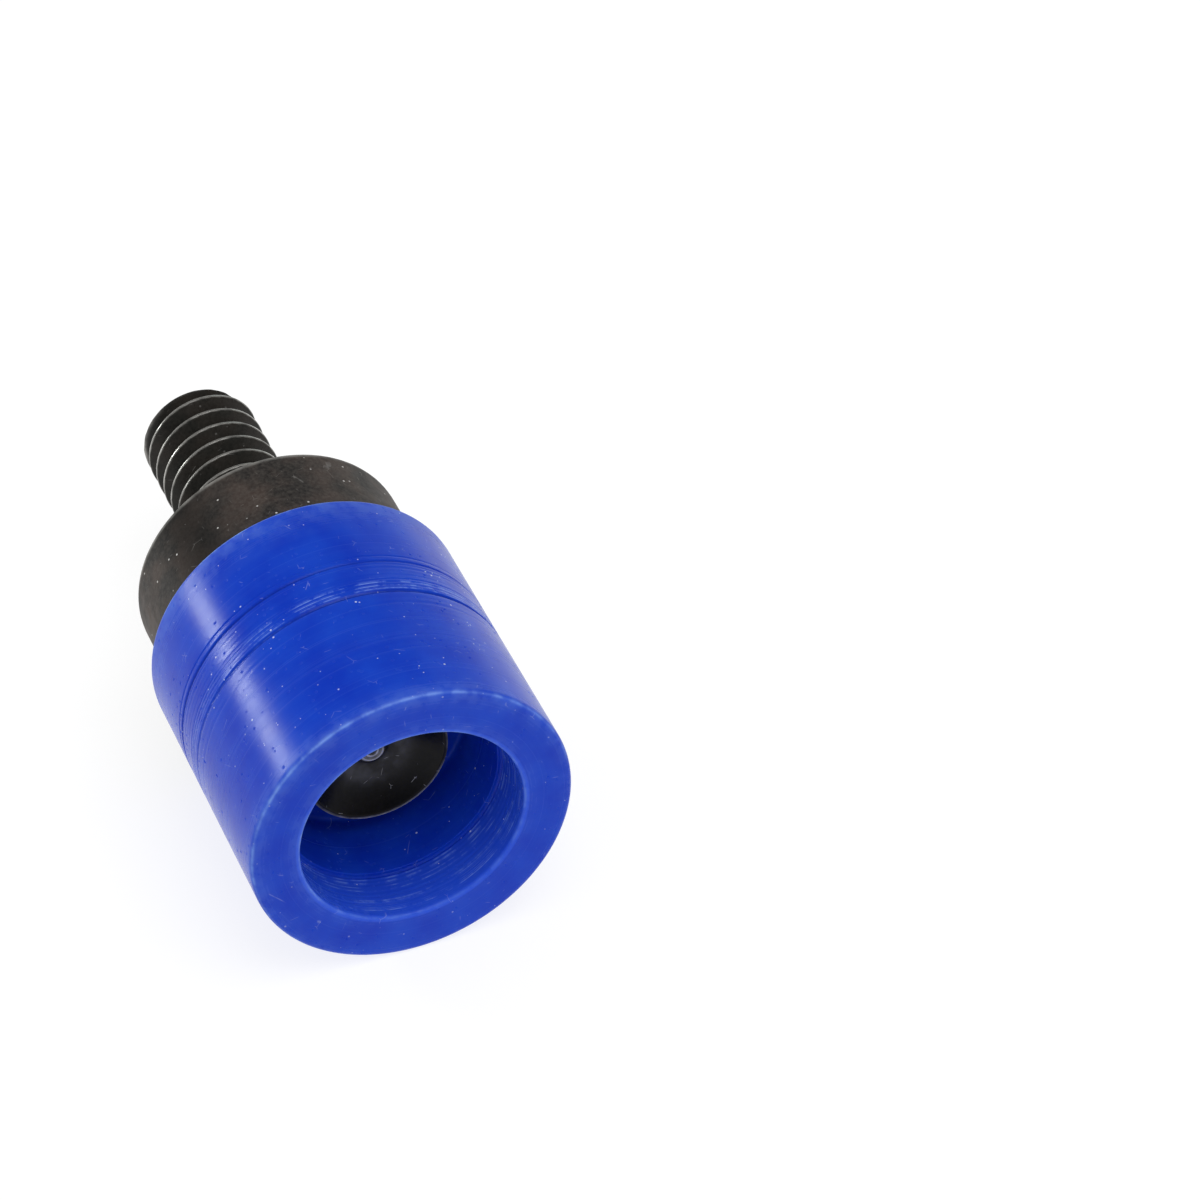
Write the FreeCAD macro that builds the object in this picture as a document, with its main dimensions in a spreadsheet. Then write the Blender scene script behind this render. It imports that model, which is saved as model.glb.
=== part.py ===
import FreeCAD, Part
import Sketcher
import os
import re

# Upper die of a hand press for snap buttons. The die axis is Z, the mouth of
# the sleeve lies on z = 0 and the thread points up, as it sits in the press.

# Driving dimensions in millimetres
dimensions = [
    ("threadDiameter", 6.35, "crest diameter of the 1/4 inch thread"),
    ("threadPitch", 1.27, "20 turns to the inch"),
    ("threadDepth", 0.78, "depth of the thread groove"),
    ("crestFlat", 0.16, "width left on top of each thread"),
    ("threadLength", 12.7, "shoulder of the collar to the tip of the thread"),
    ("reliefLength", 0.9, "plain neck where the thread runs out"),
    ("tipChamfer", 0.7, "lead chamfer on the tip"),
    ("collarDiameter", 14.8, "black collar above the sleeve"),
    ("collarShowing", 5.8, "length of the collar that stands out of the sleeve"),
    ("collarEdge", 0.35, "chamfer on the collar's upper edge"),
    ("flangeProud", 0.25, "rim at the collar's foot, beyond the collar, that holds the sleeve"),
    ("flangeHeight", 1.6, "height of that rim"),
    ("pocketWall", 1.1, "wall between the collar's side and the spring pocket"),
    ("pocketDepth", 4.8, "depth of the spring pocket"),
    ("punchDiameter", 7.7, "working end of the punch"),
    ("punchDepth", 5.3, "rim of the punch above the mouth"),
    ("rimWidth", 0.2, "flat rim round the dish"),
    ("dishDepth", 1.0, "depth of the dish in the punch"),
    ("nubDiameter", 1.9, "foot of the nub in the dish"),
    ("nubFlat", 1.2, "flat top of the nub"),
    ("nubHeight", 0.3, "height of the nub"),
    ("centreHole", 0.5, "centre hole in the nub"),
    ("centreDepth", 0.7, "depth of the centre hole"),
    ("spigotDiameter", 3.0, "pressed end of the punch"),
    ("spigotLength", 5.0, "length of the pressed end"),
    ("holeSpace", 0.4, "room past the end of the spigot"),
    ("sleeveWall", 0.75, "nylon outside the chamber that the rim runs in"),
    ("sleeveLength", 16.0, "mouth to rear edge of the sleeve"),
    ("mouthDiameter", 11.8, "recess at the mouth"),
    ("mouthRecess", 3.2, "depth of the mouth recess"),
    ("boreStep", 0.2, "step down from the recess to the bore behind it"),
    ("webPlace", 7.5, "mouth to the web inside the sleeve"),
    ("webThickness", 1.1, "web that the spring pushes on"),
    ("lipThickness", 0.95, "rear lip that catches the rim"),
    ("outerEdge", 0.3, "chamfer on the sleeve's outer edges"),
    ("mouthEdge", 0.25, "chamfer on the mouth's inner edge"),
    ("linePlace", 10.7, "mouth to the upper turned line"),
    ("lineSpacing", 2.45, "upper turned line to the lower one"),
    ("lineWidth", 0.3, "width of a turned line"),
    ("lineDepth", 0.1, "depth of a turned line"),
    ("runningGap", 0.1, "radial play of the sleeve on the steel"),
    ("webGap", 0.2, "radial play of the web round the punch"),
    ("stopGap", 0.05, "play between the rim and the rear lip at rest"),
    ("wireWidth", 0.9, "width of the flat spring wire, across the axis"),
    ("wireHeight", 0.7, "height of the flat spring wire, along the axis"),
    ("springTurns", 4.5, "turns of the spring"),
]

os.makedirs("parts", exist_ok=True)
doc = FreeCAD.newDocument("SnapButtonDie")
sheet = doc.addObject("Spreadsheet::Sheet", "Sizes")
for row, (alias, amount, note) in enumerate(dimensions, start=1):
    sheet.set(f"A{row}", note)
    sheet.set(f"B{row}", str(amount))
    sheet.setAlias(f"B{row}", alias)
doc.recompute()

# Heights and radii that follow from the driving dimensions
places = {
    "webTop": "webPlace + webThickness",
    "lipBottom": "sleeveLength - lipThickness",
    "flangeTop": "sleeveLength - lipThickness - stopGap",
    "flangeBottom": "sleeveLength - lipThickness - stopGap - flangeHeight",
    "pocketTop": "sleeveLength - lipThickness - stopGap - flangeHeight + pocketDepth",
    "collarTop": "sleeveLength + collarShowing",
    "reliefTop": "sleeveLength + collarShowing + reliefLength",
    "tip": "sleeveLength + collarShowing + threadLength",
    "coreRadius": "threadDiameter / 2 - threadDepth",
    "sleeveRadius": "chamberRadius + sleeveWall",
    "chamberRadius": "flangeRadius + runningGap",
    "flangeRadius": "collarDiameter / 2 + flangeProud",
    "pocketRadius": "collarDiameter / 2 - pocketWall",
    "boreRadius": "mouthDiameter / 2 - boreStep",
    "lipRadius": "collarDiameter / 2 + runningGap",
    "springRadius": "(punchDiameter + collarDiameter) / 4 - pocketWall / 2",
}


def bound(text):
    """An expression on the sheet: places are spelled out and sizes get the sheet's name."""
    for name, formula in places.items():
        text = re.sub(rf"\b{name}\b", f"({formula})", text)
    for alias, amount, note in dimensions:
        text = re.sub(rf"\b{alias}\b", f"Sizes.{alias}", text)
    return text


def value(text):
    """The present value of such an expression."""
    return float(doc.getObject("Sizes").evalExpression(bound(text)))


def plane(body, role):
    for item in body.Origin.OriginFeatures:
        if item.Role == role:
            return item


def newBody(label):
    body = doc.addObject("PartDesign::Body", label)
    body.Label = label
    return body


def outline(body, name, points):
    """A closed outline on the XZ plane. Each point is a radius and a height, as expressions."""
    sketch = body.newObject("Sketcher::SketchObject", name)
    sketch.AttachmentSupport = [(plane(body, "XZ_Plane"), "")]
    sketch.MapMode = "FlatFace"
    corners = [FreeCAD.Vector(value(x), value(z), 0) for x, z in points]
    count = len(corners)
    for i in range(count):
        sketch.addGeometry(Part.LineSegment(corners[i], corners[(i + 1) % count]))
    for i in range(count):
        sketch.addConstraint(Sketcher.Constraint("Coincident", i, 2, (i + 1) % count, 1))
    for i, (x, z) in enumerate(points):
        pin(sketch, i, "DistanceX", x, corners[i].x)
        pin(sketch, i, "DistanceY", z, corners[i].y)
    return sketch


def pin(sketch, line, direction, text, amount):
    """Holds the start of a line at a distance from the axis or from the ground plane."""
    if text == "0":
        axis = -2 if direction == "DistanceX" else -1
        sketch.addConstraint(Sketcher.Constraint("PointOnObject", line, 1, axis))
        return
    place = sketch.addConstraint(Sketcher.Constraint(direction, -1, 1, line, 1, amount))
    sketch.setExpression(f"Constraints[{place}]", bound(text))


def turned(body, name, points):
    """A solid turned from its half section."""
    sketch = outline(body, name + "Section", points)
    solid = body.newObject("PartDesign::Revolution", name)
    solid.Profile = sketch
    solid.ReferenceAxis = (sketch, ["V_Axis"])
    solid.Angle = 360
    doc.recompute()
    return solid


# Threaded body: shank, collar, retaining rim, spring pocket and the hole for the punch
threadedBody = newBody("threaded_body")
blank = turned(threadedBody, "bodyBlank", [
    ("0", "pocketTop + spigotLength + holeSpace"),
    ("spigotDiameter / 2", "pocketTop + spigotLength + holeSpace"),
    ("spigotDiameter / 2", "pocketTop"),
    ("pocketRadius", "pocketTop"),
    ("pocketRadius", "flangeBottom"),
    ("flangeRadius", "flangeBottom"),
    ("flangeRadius", "flangeTop"),
    ("collarDiameter / 2", "flangeTop"),
    ("collarDiameter / 2", "collarTop - collarEdge"),
    ("collarDiameter / 2 - collarEdge", "collarTop"),
    ("coreRadius", "collarTop"),
    ("coreRadius", "reliefTop"),
    ("threadDiameter / 2", "reliefTop + threadDepth / 2"),
    ("threadDiameter / 2", "tip - tipChamfer"),
    ("threadDiameter / 2 - tipChamfer", "tip"),
    ("0", "tip"),
])

# The thread: a sixty degree groove wound up the shank, from the neck to past the tip
halfOpening = "(threadPitch - crestFlat) / 2"
halfRoot = "((threadPitch - crestFlat) / 2 - threadDepth * tan(30))"
grooveStart = "reliefTop - threadPitch / 4"
overshoot = "0.1 * threadDepth"
groove = outline(threadedBody, "threadGroove", [
    ("coreRadius", f"{grooveStart} - {halfRoot}"),
    (f"threadDiameter / 2 + {overshoot}", f"{grooveStart} - {halfOpening} - {overshoot} * tan(30)"),
    (f"threadDiameter / 2 + {overshoot}", f"{grooveStart} + {halfOpening} + {overshoot} * tan(30)"),
    ("coreRadius", f"{grooveStart} + {halfRoot}"),
])
thread = threadedBody.newObject("PartDesign::SubtractiveHelix", "thread")
thread.Profile = groove
thread.ReferenceAxis = (groove, ["V_Axis"])
thread.Mode = 0
thread.setExpression("Pitch", bound("threadPitch"))
thread.setExpression("Height", bound("threadLength - reliefLength + threadPitch"))
doc.recompute()
assert thread.Shape.Volume < blank.Shape.Volume, "the thread groove cuts nothing"

# Punch: dished working end with a centred nub, pressed into the body by its spigot
punch = newBody("punch")
dishFoot = "punchDepth + dishDepth"
nubTop = "punchDepth + dishDepth - nubHeight"
punchBlank = turned(punch, "punchBlank", [
    ("0", "pocketTop + spigotLength"),
    ("0", f"{nubTop} + centreDepth"),
    ("centreHole / 2", nubTop),
    ("nubFlat / 2", nubTop),
    ("nubDiameter / 2", dishFoot),
    ("0.4 * nubDiameter + 0.1 * punchDiameter", f"{dishFoot} - 0.06 * dishDepth"),
    ("0.3 * nubDiameter + 0.2 * punchDiameter", f"{dishFoot} - 0.2 * dishDepth"),
    ("0.2 * nubDiameter + 0.3 * punchDiameter", f"{dishFoot} - 0.42 * dishDepth"),
    ("0.1 * nubDiameter + 0.4 * punchDiameter", f"{dishFoot} - 0.7 * dishDepth"),
    ("punchDiameter / 2 - rimWidth", "punchDepth"),
    ("punchDiameter / 2", "punchDepth"),
    ("punchDiameter / 2", "pocketTop"),
    ("spigotDiameter / 2", "pocketTop"),
    ("spigotDiameter / 2", "pocketTop + spigotLength"),
])

# Guide sleeve: mouth recess, bore, web for the spring, chamber for the rim, rear lip
sleeve = newBody("guide_sleeve")
lineFloor = "sleeveRadius - lineDepth"
sleeveSection = [
    ("mouthDiameter / 2", "mouthEdge"),
    ("mouthDiameter / 2 + mouthEdge", "0"),
    ("sleeveRadius - outerEdge", "0"),
    ("sleeveRadius", "outerEdge"),
]
for centre in ("linePlace - lineSpacing", "linePlace"):
    sleeveSection += [
        ("sleeveRadius", f"{centre} - lineWidth / 2"),
        (lineFloor, centre),
        ("sleeveRadius", f"{centre} + lineWidth / 2"),
    ]
sleeveSection += [
    ("sleeveRadius", "sleeveLength - outerEdge"),
    ("sleeveRadius - outerEdge", "sleeveLength"),
    ("lipRadius", "sleeveLength"),
    ("lipRadius", "lipBottom"),
    ("chamberRadius", "lipBottom"),
    ("chamberRadius", "webTop"),
    ("punchDiameter / 2 + webGap", "webTop"),
    ("punchDiameter / 2 + webGap", "webPlace"),
    ("boreRadius", "webPlace"),
    ("boreRadius", "mouthRecess"),
    ("mouthDiameter / 2", "mouthRecess"),
]
turned(sleeve, "sleeveBlank", sleeveSection)

# Return spring: a coil of flat die-spring wire between the web and the roof of the pocket
spring = newBody("return_spring")
wireSection = outline(spring, "wireSection", [
    ("springRadius - wireWidth / 2", "webTop"),
    ("springRadius + wireWidth / 2", "webTop"),
    ("springRadius + wireWidth / 2", "webTop + wireHeight"),
    ("springRadius - wireWidth / 2", "webTop + wireHeight"),
])
coil = spring.newObject("PartDesign::AdditiveHelix", "coil")
coil.Profile = wireSection
coil.ReferenceAxis = (wireSection, ["V_Axis"])
coil.Mode = 0
coil.setExpression("Pitch", bound("(pocketTop - webTop - wireHeight) / springTurns"))
coil.setExpression("Height", bound("pocketTop - webTop - wireHeight"))
doc.recompute()

# Checks, then one file for each piece
pieces = [threadedBody, punch, sleeve, spring]
for item in doc.Objects:
    assert not {"Invalid", "Error"} & set(item.State), f"{item.Label} failed: {item.State}"
for piece in pieces:
    shape = piece.Shape
    assert not shape.isNull() and shape.isValid() and len(shape.Solids) == 1, piece.Label
    shape.exportStep(f"parts/{piece.Label}.step")
    box = shape.optimalBoundingBox(False)
    print(f"{piece.Label}: {shape.Volume:.2f} mm3, z {box.ZMin:.2f} to {box.ZMax:.2f}, width {box.XLength:.2f}")
print(f"travel of the sleeve: {value('flangeBottom - webTop'):.2f} mm to the web")
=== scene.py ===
import bpy
import math
import numpy as np
from mathutils import Matrix, Vector


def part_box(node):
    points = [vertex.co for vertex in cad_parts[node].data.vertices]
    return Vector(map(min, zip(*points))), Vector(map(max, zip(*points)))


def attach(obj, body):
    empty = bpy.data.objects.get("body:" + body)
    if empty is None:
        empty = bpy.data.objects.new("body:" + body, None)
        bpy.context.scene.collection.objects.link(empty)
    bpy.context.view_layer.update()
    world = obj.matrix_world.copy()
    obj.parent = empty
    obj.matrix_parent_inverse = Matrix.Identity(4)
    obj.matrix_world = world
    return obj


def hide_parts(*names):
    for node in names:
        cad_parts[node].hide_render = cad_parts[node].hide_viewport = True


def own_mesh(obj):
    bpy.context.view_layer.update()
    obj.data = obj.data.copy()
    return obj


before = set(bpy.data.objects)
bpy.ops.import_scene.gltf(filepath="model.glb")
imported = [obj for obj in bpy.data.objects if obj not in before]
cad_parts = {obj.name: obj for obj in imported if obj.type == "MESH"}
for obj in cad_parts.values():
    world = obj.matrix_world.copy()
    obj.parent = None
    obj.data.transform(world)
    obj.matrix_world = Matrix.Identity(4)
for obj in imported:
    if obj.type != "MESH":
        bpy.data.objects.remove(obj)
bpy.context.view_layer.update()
print("frame loaded, nodes:", sorted(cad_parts))

mm = 0.001
hair = 1e-6  # in millimetres: sizes that differ by less are the same
steps = np.random.default_rng(24)  # the same uneven tool marks on every run

# Heights and radii that the frame gives, in millimetres
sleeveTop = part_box("guide_sleeve")[1]
bodyFoot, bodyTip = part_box("threaded_body")
punchFoot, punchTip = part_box("punch")
springFoot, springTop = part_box("return_spring")
sleeveRadius = sleeveTop.x / mm
sleeveLength = sleeveTop.z / mm
flangeRadius = bodyTip.x / mm
punchRadius = punchTip.x / mm


def linear(hexColour):
    # sRGB hex to linear: each channel c becomes ((c + 0.055) / 1.055) ^ 2.4, or c / 12.92 where dark
    channels = [int(hexColour[i:i + 2], 16) / 255 for i in (1, 3, 5)]
    return tuple(c / 12.92 if c <= 0.04045 else ((c + 0.055) / 1.055) ** 2.4 for c in channels) + (1.0,)


def addNode(tree, kind, settings=None, links=None):
    # one node: settings are its own properties, links are socket values or sockets to join
    node = tree.nodes.new(kind)
    for name, setting in (settings or {}).items():
        setattr(node, name, setting)
    for socket, source in (links or {}).items():
        if isinstance(source, bpy.types.NodeSocket):
            tree.links.new(source, node.inputs[socket])
        else:
            node.inputs[socket].default_value = source
    return node


# Surfaces: profiles in millimetres, carried round the axis on a grid

def roundedPath(corners, step, closed=False):
    # corners are (radius, height, rounding). A rounded corner is a quadratic arc between its two
    # tangent points: (1-t)^2 a + 2t(1-t) corner + t^2 b. Then points are added every step.
    count = len(corners)
    pieces = []
    for i, (r, z, rounding) in enumerate(corners):
        here = np.array([r, z])
        if rounding == 0:
            pieces.append(here[None])
            continue
        before = np.array(corners[i - 1][:2])
        after = np.array(corners[(i + 1) % count][:2])
        a = here + rounding * (before - here) / np.linalg.norm(before - here)
        b = here + rounding * (after - here) / np.linalg.norm(after - here)
        t = np.linspace(0, 1, 7)[:, None]
        pieces.append((1 - t) ** 2 * a + 2 * t * (1 - t) * here + t ** 2 * b)
    points = np.vstack(pieces)
    if closed:
        points = np.vstack([points, points[:1]])
    along = np.concatenate([[0], np.cumsum(np.linalg.norm(np.diff(points, axis=0), axis=1))])
    places = np.unique(np.concatenate([along, np.arange(0, along[-1], step)]).round(4))
    dense = np.stack([np.interp(places, along, points[:, k]) for k in (0, 1)], axis=1)
    return dense[:-1] if closed else dense


def turned(radius, height, columns):
    # a point of the grid is (r cos a, r sin a, z), with r and z taken from the profile
    angle = np.linspace(0, 2 * np.pi, columns, endpoint=False)
    radius = np.broadcast_to(radius if radius.ndim == 2 else radius[:, None], (len(radius), columns))
    height = np.broadcast_to(height[:, None], radius.shape)
    return np.stack([radius * np.cos(angle), radius * np.sin(angle), height], axis=-1)


def addSurface(name, grid, loop=False, poles=()):
    # quads between neighbouring rows, wrapped across the columns; a pole closes an end with a fan
    rows, columns = grid.shape[:2]
    ids = np.arange(rows * columns).reshape(rows, columns)
    side = np.roll(ids, -1, axis=1)
    if loop:
        quads = np.stack([ids, side, np.roll(side, -1, axis=0), np.roll(ids, -1, axis=0)], axis=-1)
    else:
        quads = np.stack([ids[:-1], side[:-1], side[1:], ids[1:]], axis=-1)
    points = grid.reshape(-1, 3)
    faces = quads.reshape(-1, 4).tolist()
    for row, pole in zip((0, -1), poles):
        tip = np.full(columns, len(points))
        points = np.vstack([points, pole])
        ends = (side[row], ids[row]) if row == 0 else (ids[row], side[row])
        faces += np.stack([*ends, tip], axis=-1).tolist()
    mesh = bpy.data.meshes.new(name)
    mesh.from_pydata((points * mm).tolist(), [], faces)
    a, b, c = (points[quads.reshape(-1, 4)[:, k]] for k in (0, 1, 2))
    d = points[quads.reshape(-1, 4)[:, 3]]
    volume = (np.einsum("ij,ij->i", a, np.cross(b, c)) + np.einsum("ij,ij->i", a, np.cross(c, d))).sum()
    if volume < 0:
        mesh.flip_normals()
    mesh.polygons.foreach_set("use_smooth", np.ones(len(mesh.polygons), dtype=bool))
    mesh.update()
    piece = bpy.data.objects.new(name, mesh)
    bpy.context.scene.collection.objects.link(piece)
    return piece


def addAttribute(piece, name, amounts):
    # one number for each vertex; poles past the grid get 0
    full = np.zeros(len(piece.data.vertices), dtype=np.float32)
    full[:amounts.size] = amounts.ravel()
    piece.data.attributes.new(name, "FLOAT", "POINT").data.foreach_set("value", full)


def nearRings(radius, height, rings, reach):
    # wear that falls off as exp(-(distance / reach)^2) from each worn ring (radius, height)
    amount = np.zeros(radius.shape)
    for r, z, strength in rings:
        apart = np.hypot(radius - r, height - z)
        amount = np.maximum(amount, strength * np.exp(-(apart / reach) ** 2))
    return amount


def toolMarks(place, pitch, depth, start, end, fade):
    # turned marks: uneven grooves at each pitch, each of its own depth, faded in and out at the ends
    count = int((end - start) / pitch) + 2
    depths = depth * steps.uniform(0.15, 1.0, count)
    across = (place - start) / pitch
    cell = np.clip(np.floor(across).astype(int), 0, count - 1)
    shape = 0.5 - 0.5 * np.cos(2 * np.pi * (across - np.floor(across)))
    inside = np.clip((place - start) / fade, 0, 1) * np.clip((end - place) / fade, 0, 1)
    return depths[cell] * shape * inside


# Guide sleeve: turned nylon, with a step in its mouth and two turned lines outside
sleeve = {
    "columns": 168,
    "step": 0.11,
    "mouthRadius": 5.9,
    "mouthDepth": 3.2,
    "boreRadius": 5.7,
    "webFoot": 7.5,
    "webTop": 8.6,
    "webHole": 4.05,
    "chamberRadius": 7.75,
    "lipFoot": 15.05,
    "lipRadius": 7.5,
    "lipRounding": 0.12,
    "outerRounding": 0.34,
    "mouthRounding": 0.22,
    "boreRounding": 0.3,
    "stepRounding": 0.05,
    "markedFrom": 6.0,    # the outside has finer rows between these heights
    "markedTo": 11.4,
    "markedStep": 0.045,
    "mouthStep": 0.05,
    "upperLine": 10.7,
    "upperDepth": 0.10,
    "upperWidth": 0.07,
    "lowerLine": 8.25,
    "lowerDepth": 0.13,
    "lowerWidth": 0.10,
    "glintHeights": (0.21, 0.45, 0.72),    # over the lower line
    "glintWidth": 0.030,
    "leftAzimuth": -2.2,
    "rightAzimuth": 0.1,
    "highlightAzimuth": -1.3,
    "glintAzimuth": -0.5,
}


# Uneven turned marks, from the mouth's side of the sleeve to its rear
toolPasses = {
    "ridges": {"pitch": 0.24, "depth": 0.030, "start": 8.35, "end": 9.40, "fade": 0.2},
    "between": {"pitch": 0.31, "depth": 0.012, "start": 9.35, "end": 10.7, "fade": 0.3},
    "below": {"pitch": 0.42, "depth": 0.010, "start": 6.2, "end": 8.25, "fade": 1.0},
    "mouth": {"pitch": 0.30, "depth": 0.016, "start": 0.3, "end": 3.2, "fade": 0.25},
}

# Paler zones of the sleeve: worn edges that also carry painted highlights, a wider pale zone round the
# mouth, and a painted glow at the rear. Each spreads over its reach from its rings (radius, height,
# strength).
sleeveWearAndLight = [
    # thin pale lines on the edges: partly wear, partly painted highlights
    {"strength": 1.0, "reach": 0.10, "rings": [
        (sleeveRadius - 0.06, 0.06, 1.0),
        (sleeveRadius - 0.03, sleeveLength - 0.12, 1.0),
        (sleeve["mouthRadius"] + 0.05, 0.05, 0.9)]},
    {"strength": 0.22, "reach": 0.7, "rings": [(sleeveRadius, 0, 1.0), (sleeve["mouthRadius"], 0, 0.8)]},
    # light comes through the nylon at the rear edge
    {"strength": 0.24, "reach": 1.4, "rings": [(sleeveRadius, sleeveLength, 1.0)]},
]


def groove(height, middle, width):
    # 1 at the middle of a groove, and exp(-(distance / width)^2) beside it
    return np.exp(-((height - middle) / width) ** 2)


def makeSleeve():
    s = sleeve
    profile = roundedPath([
        (s["mouthRadius"], 0, s["mouthRounding"]),
        (sleeveRadius, 0, s["outerRounding"]),
        (sleeveRadius, sleeveLength, s["outerRounding"]),
        (s["lipRadius"], sleeveLength, s["lipRounding"]),
        (s["lipRadius"], s["lipFoot"], 0),
        (s["chamberRadius"], s["lipFoot"], 0),
        (s["chamberRadius"], s["webTop"], 0),
        (s["webHole"], s["webTop"], 0),
        (s["webHole"], s["webFoot"], 0),
        (s["boreRadius"], s["webFoot"], s["boreRounding"]),
        (s["boreRadius"], s["mouthDepth"], s["stepRounding"]),
        (s["mouthRadius"], s["mouthDepth"], s["stepRounding"]),
    ], s["step"], closed=True)
    radius, height = profile[:, 0], profile[:, 1]
    # more rows where the outside is marked by the tool, and in the mouth
    outside = np.arange(s["markedFrom"], s["markedTo"], s["markedStep"])
    wallTop = s["mouthDepth"] - 0.08
    inMouth = np.arange(wallTop, s["mouthRounding"] + 0.02, -s["mouthStep"])
    keep = ~((radius > sleeveRadius - hair) & (height > s["markedFrom"]) & (height < s["markedTo"]))
    closing = np.arange(len(radius)) > len(radius) / 2
    keep &= ~(closing & (abs(radius - s["mouthRadius"]) < hair) & (height < wallTop))
    radius, height = radius[keep], height[keep]
    first = np.flatnonzero(height >= s["markedTo"] - hair)[0]
    radius = np.concatenate([radius[:first], np.full(outside.size, sleeveRadius), radius[first:]])
    height = np.concatenate([height[:first], outside, height[first:]])
    radius = np.concatenate([radius, np.full(inMouth.size, s["mouthRadius"])])
    height = np.concatenate([height, inMouth])
    # Grooves are cut into the outside and into the mouth's wall, never out of them. The upper line is
    # deepest on one side and the lower line on the other: depth x (0.6 + 0.4 cos(angle - deepest)).
    angle = np.linspace(0, 2 * np.pi, s["columns"], endpoint=False)[None]
    leftSide = 0.6 + 0.4 * np.cos(angle - s["leftAzimuth"])
    rightSide = 0.6 + 0.4 * np.cos(angle - s["rightAzimuth"])
    outer = (radius > sleeveRadius - hair)[:, None]
    upper = groove(height, s["upperLine"], s["upperWidth"])[:, None] * leftSide
    lower = groove(height, s["lowerLine"], s["lowerWidth"])[:, None] * rightSide
    second = 0.04 * groove(height, s["upperLine"] + 0.42, 0.05)[:, None] * leftSide
    tooled = sum(toolMarks(height, **toolPasses[name]) for name in ("ridges", "between", "below"))
    cut = s["upperDepth"] * upper + second + s["lowerDepth"] * lower + tooled[:, None]
    mouthWall = (abs(radius - s["mouthRadius"]) < hair) & (height > toolPasses["mouth"]["start"])
    marks = toolMarks(height, **toolPasses["mouth"]) + 0.07 * groove(height, s["mouthDepth"] - 0.1, 0.06)
    marks = mouthWall * marks
    flatRadius = radius
    radius = radius[:, None] - outer * cut + marks[:, None]
    piece = addSurface("sleeve_shell", turned(radius, height, s["columns"]), loop=True)
    wearAndLight = np.max([zone["strength"] * nearRings(flatRadius, height, zone["rings"], zone["reach"])
                   for zone in sleeveWearAndLight], axis=0)
    # painted highlight: the mouth's pale worn edge is brightest on one side
    mouthHighlightSide = np.where(height[:, None] < 1, 0.6 + 0.4 * np.cos(angle - s["highlightAzimuth"]), 1.0)
    addAttribute(piece, "edgeWearAndLight", wearAndLight[:, None] * mouthHighlightSide)
    # painted highlights: three bright broken lines over the lower line, brightest on one side; and painted
    # shade in the bottoms of both lines
    glintMask = sum(groove(height, s["lowerLine"] + up, s["glintWidth"]) for up in s["glintHeights"])
    glintSide = np.clip(np.cos(angle - s["glintAzimuth"]), 0, 1) * 0.8 + 0.2
    addAttribute(piece, "glintLines", (outer[:, 0] * glintMask)[:, None] * glintSide)
    addAttribute(piece, "paintedLineShade", outer * (upper + lower))
    # painted highlights go here as bright broken lines: on the mouth's wall and round the lower line
    turnedZone = mouthWall * 1.0 + outer[:, 0] * groove(height, s["lowerLine"] + 0.45, 0.5)
    # the recess is painted paler in the nylon's colour: painted light
    recess = (flatRadius < s["mouthRadius"] + 0.3) & (height < s["mouthDepth"] - 0.15)
    addAttribute(piece, "recess", np.repeat(recess * 1.0, s["columns"]))
    addAttribute(piece, "toolMarks", np.repeat(turnedZone, s["columns"]))
    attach(piece, "sleeve")
    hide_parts("guide_sleeve")
    return piece


# Threaded body: one turned piece with the thread cut into its shank
body = {
    "columns": 200,
    "collarRadius": 7.4,
    "collarTop": 21.8,
    "collarRounding": 0.5,
    "flangeTop": 15.0,
    "pocketRadius": 6.3,
    "pocketTop": 18.2,
    "holeRadius": 1.5,
    "holeTop": 23.6,
    "threadRadius": 3.175,
    "coreRadius": 2.395,
    "pitch": 1.27,
    "crestFlat": 0.16,
    "neckTop": 22.7,
    "neckFillet": 0.25,
    "tipChamfer": 0.7,
    "rowStep": 0.042,
    "softening": 0.035,
    "threadZoneRadius": 4,
    "shadeAzimuth": -1.48,
    "shadeWidth": 0.30,
    "flangeRounding": 0.1,
    "pathStep": 0.35,
    "poleRadius": 0.3,
    "crestFade": 0.03,
    "wearReach": 0.13,
}


def threadRadius(height, columns):
    # distance up or down from the middle of the groove, which climbs one pitch a turn, then
    # core + (distance - half root) / tan 30, held under the crest and under the turned blank.
    # The mean of three heights rounds the crest and the root.
    b = body
    angle = np.linspace(0, 2 * np.pi, columns, endpoint=False)
    start = b["neckTop"] - b["pitch"] / 4
    middle = start + b["pitch"] * angle / (2 * np.pi)
    around = height[:, None] - middle[None] + b["pitch"] / 2
    slope = math.tan(math.radians(30))
    depth = b["threadRadius"] - b["coreRadius"]
    halfRoot = (b["pitch"] - b["crestFlat"]) / 2 - depth * slope
    wound = b["coreRadius"]
    for shift in (-b["softening"], 0, b["softening"]):
        apart = (around + shift) % b["pitch"] - b["pitch"] / 2
        wound = wound + np.clip((abs(apart) - halfRoot) / slope, 0, depth) / 3
    neck = b["coreRadius"] + np.clip((height - b["neckTop"]) * 2, 0, depth)
    foot = b["neckFillet"] * np.clip(1 - (height - b["collarTop"]) / b["neckFillet"], 0, 1) ** 2
    tip = bodyTip.z / mm
    chamfer = b["threadRadius"] - np.clip(height - (tip - b["tipChamfer"]), 0, None)
    blank = np.minimum(neck + foot, chamfer)
    return np.minimum(wound + foot[:, None], blank[:, None])


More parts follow.
